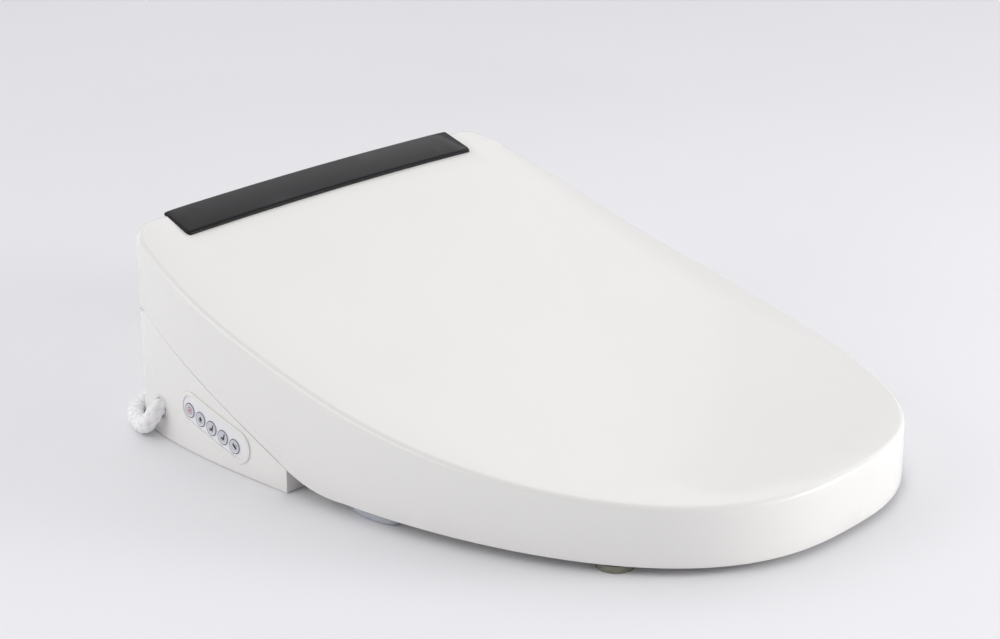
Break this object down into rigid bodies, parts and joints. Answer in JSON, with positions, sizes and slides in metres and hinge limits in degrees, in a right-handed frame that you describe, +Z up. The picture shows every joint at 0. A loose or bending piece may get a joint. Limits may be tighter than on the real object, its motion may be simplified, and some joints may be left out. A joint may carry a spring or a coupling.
{
  "type": "electric bidet seat",
  "caption": "Electric bidet seat for a toilet bowl: heated seat and lid on dampers, side control panel, retracting wash nozzles, tank and warm-air dryer.",
  "frame": {"origin": "halfway between the two bowl bolts, on the plane of the bowl's rim", "axes": "+Z up, -Y towards the front of the seat, X across; X = 0 is the plane of symmetry"},
  "size_m": [0.443, 0.7233, 0.1636],
  "materials": {
    "gloss_white": "high gloss",
    "satin_white": "satin",
    "smoked_black": "high gloss smoked",
    "panel_film": "satin film",
    "button_grey": "satin",
    "circuit_board": "solder mask",
    "blue_bumper": "translucent",
    "grey_rubber": "matte",
    "steel": "bright",
    "heater_foil": "foil",
    "black_plastic": "matte",
    "nozzle_plastic": "gloss",
    "acetal": "satin",
    "tank_plastic": "natural",
    "brass_fitting": "machined",
    "valve_blue": "satin",
    "tube_silicone": "translucent",
    "transformer_core": "varnished",
    "hose_white": "woven sleeve",
    "nut_plastic": "satin"
  },
  "bodies": {
    "base": {"air_heater": "heater_foil", "base_lower_case": "satin_white", "base_upper_case": "gloss_white", "case_screws": "steel", "control_bezel": "satin_white", "control_board": "circuit_board", "control_overlay": "panel_film", "display_board": "circuit_board", "diverter_valve": "acetal", "drain_plug": "black_plastic", "fan_housing": "black_plastic", "fan_motor": "black_plastic", "float_stem": "black_plastic", "hose_grommet": "grey_rubber", "hose_nut": "nut_plastic", "inlet_fitting": "brass_fitting", "inlet_hose": "hose_white", "inlet_hose_coil": "hose_white", "inlet_valve": "valve_blue", "lid_damper": "black_plastic", "main_board": "circuit_board", "nozzle_guide": "satin_white", "nozzle_motor_front_wash": "steel", "nozzle_motor_rear_wash": "steel", "power_cord_gland": "grey_rubber", "power_transformer": "transformer_core", "rubber_feet": "grey_rubber", "seat_damper": "black_plastic", "tank_feed_tube": "tube_silicone", "tank_gasket": "grey_rubber", "tank_lid": "satin_white", "temperature_sensor": "steel", "wash_tube": "tube_silicone", "water_heater": "steel", "water_tank": "tank_plastic"},
    "lid": {"lid_shell": "gloss_white", "sensor_window": "smoked_black", "lid_hinge_bracket_right": "satin_white", "lid_hinge_bracket_left": "satin_white", "lid_bumpers": "grey_rubber", "lid_damper_shaft": "steel"},
    "seat": {"seat_upper_shell": "gloss_white", "seat_lower_shell": "satin_white", "seat_heater_foil": "heater_foil", "seat_front_bumpers": "grey_rubber", "seat_side_bumpers": "blue_bumper", "seat_damper_shaft": "steel"},
    "fan": {"fan_impeller": "black_plastic"},
    "flap": {"dryer_flap": "satin_white"},
    "float": {"level_float": "nozzle_plastic"},
    "plate": {"mounting_plate": "satin_white"},
    "button_stop_body": {"button_stop": "button_grey"},
    "button_rear_wash_body": {"button_rear_wash": "button_grey"},
    "button_front_wash_body": {"button_front_wash": "button_grey"},
    "button_dry_body": {"button_dry": "button_grey"},
    "button_power_save_body": {"button_power_save": "button_grey"},
    "nozzle_rear_wash_body": {"nozzle_rear_wash": "nozzle_plastic"},
    "pinion_rear_wash_body": {"pinion_rear_wash": "acetal"},
    "nozzle_front_wash_body": {"nozzle_front_wash": "nozzle_plastic"},
    "pinion_front_wash_body": {"pinion_front_wash": "acetal"}
  },
  "joints": [
    {"name": "seat_hinge", "type": "hinge", "parent": "base", "child": "seat", "pos_m": [0, 0.0466, 0.1207], "axis": [-1, 0, 0], "range_deg": [0, 98]},
    {"name": "lid_hinge", "type": "hinge", "parent": "seat", "child": "lid", "pos_m": [0, 0.0466, 0.1207], "axis": [1, 0, 0], "range_deg": [-100, 0]},
    {"name": "stop_press", "type": "slide", "parent": "base", "child": "button_stop_body", "axis": [1, 0, 0], "range_m": [0, 0.0008], "stiffness_N_per_m": 2500, "springref_m": -0.0002},
    {"name": "rear_wash_press", "type": "slide", "parent": "base", "child": "button_rear_wash_body", "axis": [1, 0, 0], "range_m": [0, 0.0008], "stiffness_N_per_m": 2500, "springref_m": -0.0002},
    {"name": "front_wash_press", "type": "slide", "parent": "base", "child": "button_front_wash_body", "axis": [1, 0, 0], "range_m": [0, 0.0008], "stiffness_N_per_m": 2500, "springref_m": -0.0002},
    {"name": "dry_press", "type": "slide", "parent": "base", "child": "button_dry_body", "axis": [1, 0, 0], "range_m": [0, 0.0008], "stiffness_N_per_m": 2500, "springref_m": -0.0002},
    {"name": "power_save_press", "type": "slide", "parent": "base", "child": "button_power_save_body", "axis": [1, 0, 0], "range_m": [0, 0.0008], "stiffness_N_per_m": 2500, "springref_m": -0.0002},
    {"name": "rear_wash_nozzle_slide", "type": "slide", "parent": "base", "child": "nozzle_rear_wash_body", "axis": [0, -0.9781, -0.2079], "range_m": [0, 0.075]},
    {"name": "rear_wash_pinion_turn", "type": "hinge", "parent": "base", "child": "pinion_rear_wash_body", "pos_m": [-0.0245, -0.03892, 0.03273], "axis": [0, -0.2079, 0.9781], "range_deg": [-720, 0]},
    {"name": "front_wash_nozzle_slide", "type": "slide", "parent": "base", "child": "nozzle_front_wash_body", "axis": [0, -0.9781, -0.2079], "range_m": [0, 0.075]},
    {"name": "front_wash_pinion_turn", "type": "hinge", "parent": "base", "child": "pinion_front_wash_body", "pos_m": [0.0245, -0.03892, 0.03273], "axis": [0, -0.2079, 0.9781], "range_deg": [0, 720]},
    {"name": "fan_spin", "type": "hinge", "parent": "base", "child": "fan", "pos_m": [0.071, 0, 0.052], "axis": [1, 0, 0], "continuous": true},
    {"name": "dryer_flap_hinge", "type": "hinge", "parent": "base", "child": "flap", "pos_m": [0.071, -0.0776, 0.031], "axis": [-1, 0, 0], "range_deg": [0, 70]},
    {"name": "float_rise", "type": "slide", "parent": "base", "child": "float", "axis": [0, 0, 1], "range_m": [0, 0.02]},
    {"name": "plate_slide", "type": "slide", "parent": "base", "child": "plate", "axis": [0, 1, 0], "range_m": [0, 0.026]}
  ],
  "couplings": [
    {"joint": "rear_wash_pinion_turn", "follows": "rear_wash_nozzle_slide", "rad_per_m": -166.67},
    {"joint": "front_wash_pinion_turn", "follows": "front_wash_nozzle_slide", "rad_per_m": 166.67}
  ]
}
